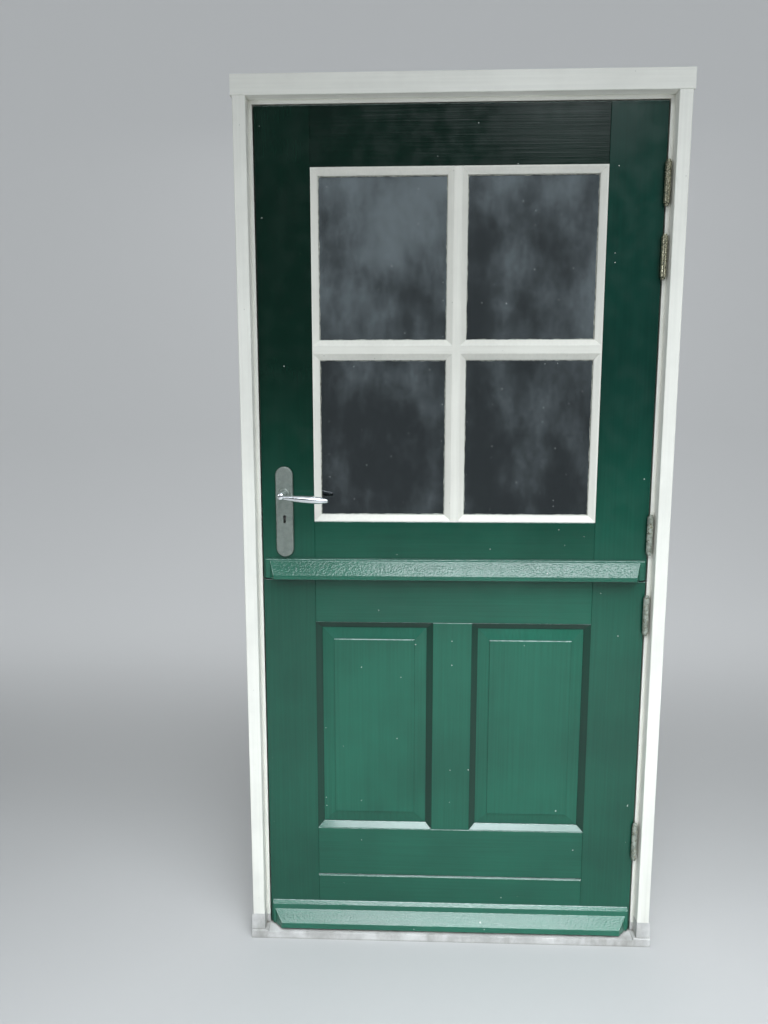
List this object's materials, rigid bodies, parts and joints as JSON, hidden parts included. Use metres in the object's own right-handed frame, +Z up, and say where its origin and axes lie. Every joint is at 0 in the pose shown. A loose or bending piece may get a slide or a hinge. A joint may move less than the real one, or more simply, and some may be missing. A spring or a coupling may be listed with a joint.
{
  "type": "dutch stable door",
  "caption": "Outward-opening stable door in two halves, glazed above and panelled below, in a painted timber frame on a stone threshold.",
  "frame": {"origin": "centre of the stone threshold's underside", "axes": "+Z up, +Y from outside into the house, +X to the right seen from outside, towards the hinges"},
  "size_m": [1.022, 0.1592, 2.097],
  "materials": {
    "frame_paint": "gloss cream-white paint on timber",
    "green_paint": "gloss dark bottle-green paint on timber",
    "bead_paint": "gloss cream-white paint on timber",
    "window_glass": "clear polished",
    "stone": "sawn, weathered",
    "seal_rubber": "matt",
    "dowel_steel": "plain",
    "hinge_brass": "worn, with old paint",
    "plate_metal": "satin, weathered",
    "lever_metal": "polished, slightly worn",
    "lock_steel": "brushed",
    "bolt_steel": "galvanised, dull"
  },
  "bodies": {
    "frame": {"frame_head": "frame_paint", "frame_jamb_left": "frame_paint", "frame_jamb_right": "frame_paint", "plinth_block_left": "stone", "plinth_block_right": "stone", "threshold": "stone", "frame_dowels": "dowel_steel", "draught_seal": "seal_rubber", "strike_plate": "lock_steel", "lower_bolt_keeper": "bolt_steel", "upper_hinge_frame_leaves": "hinge_brass", "lower_hinge_frame_leaves": "hinge_brass", "hinge_pins": "hinge_brass"},
    "upper_leaf": {"upper_stile_hinge": "green_paint", "upper_stile_lock": "green_paint", "upper_top_rail": "green_paint", "upper_bottom_rail": "green_paint", "glazing_bar_vertical": "bead_paint", "glazing_bar_left": "bead_paint", "glazing_bar_right": "bead_paint", "pane_lower_left": "window_glass", "pane_lower_right": "window_glass", "pane_upper_left": "window_glass", "pane_upper_right": "window_glass", "glazing_beads_lower_left": "bead_paint", "glazing_beads_lower_right": "bead_paint", "glazing_beads_upper_left": "bead_paint", "glazing_beads_upper_right": "bead_paint", "upper_weather_bar": "green_paint", "upper_hinge_door_leaves": "hinge_brass", "lock_case": "lock_steel", "lock_forend": "lock_steel", "backplate_outside": "plate_metal", "backplate_inside": "plate_metal", "backplate_screws": "lock_steel", "coupling_bolt_base": "bolt_steel"},
    "lower_leaf": {"lower_stile_hinge": "green_paint", "lower_stile_lock": "green_paint", "lower_top_rail": "green_paint", "lower_muntin": "green_paint", "lower_mid_rail": "green_paint", "lower_bottom_rail": "green_paint", "panel_left": "green_paint", "panel_right": "green_paint", "panel_moulding_left": "green_paint", "panel_moulding_right": "green_paint", "lower_weather_bar": "green_paint", "lower_hinge_door_leaves": "hinge_brass", "coupling_bolt_keeper": "bolt_steel", "lower_bolt_base": "bolt_steel"},
    "handle": {"lever_outside": "lever_metal", "lever_inside": "lever_metal", "spindle": "lock_steel", "lock_follower": "lock_steel"},
    "latch": {"latch_bolt": "lock_steel"},
    "deadbolt": {"deadbolt": "lock_steel"},
    "coupling_bolt": {"coupling_bolt_rod": "bolt_steel"},
    "lower_bolt": {"lower_bolt_rod": "bolt_steel"}
  },
  "joints": [
    {"name": "upper_leaf_swing", "type": "hinge", "parent": "frame", "child": "upper_leaf", "pos_m": [0.4665, -0.037, 1.5], "axis": [0, 0, 1], "range_deg": [0, 95]},
    {"name": "lower_leaf_swing", "type": "hinge", "parent": "frame", "child": "lower_leaf", "pos_m": [0.4665, -0.037, 0.5], "axis": [0, 0, 1], "range_deg": [0, 95]},
    {"name": "lever_turn", "type": "hinge", "parent": "upper_leaf", "child": "handle", "pos_m": [-0.41, -0.009, 1.158], "axis": [0, 1, 0], "range_deg": [0, 40], "stiffness_Nm_per_rad": 1, "springref_deg": -20.05},
    {"name": "latch_slide", "type": "slide", "parent": "upper_leaf", "child": "latch", "axis": [-1, 0, 0], "range_m": [0, 0.011]},
    {"name": "deadbolt_slide", "type": "slide", "parent": "upper_leaf", "child": "deadbolt", "axis": [-1, 0, 0], "range_m": [0, 0.014]},
    {"name": "coupling_bolt_slide", "type": "slide", "parent": "upper_leaf", "child": "coupling_bolt", "axis": [0, 0, -1], "range_m": [0, 0.026]},
    {"name": "lower_bolt_slide", "type": "slide", "parent": "lower_leaf", "child": "lower_bolt", "axis": [-1, 0, 0], "range_m": [0, 0.02]}
  ]
}
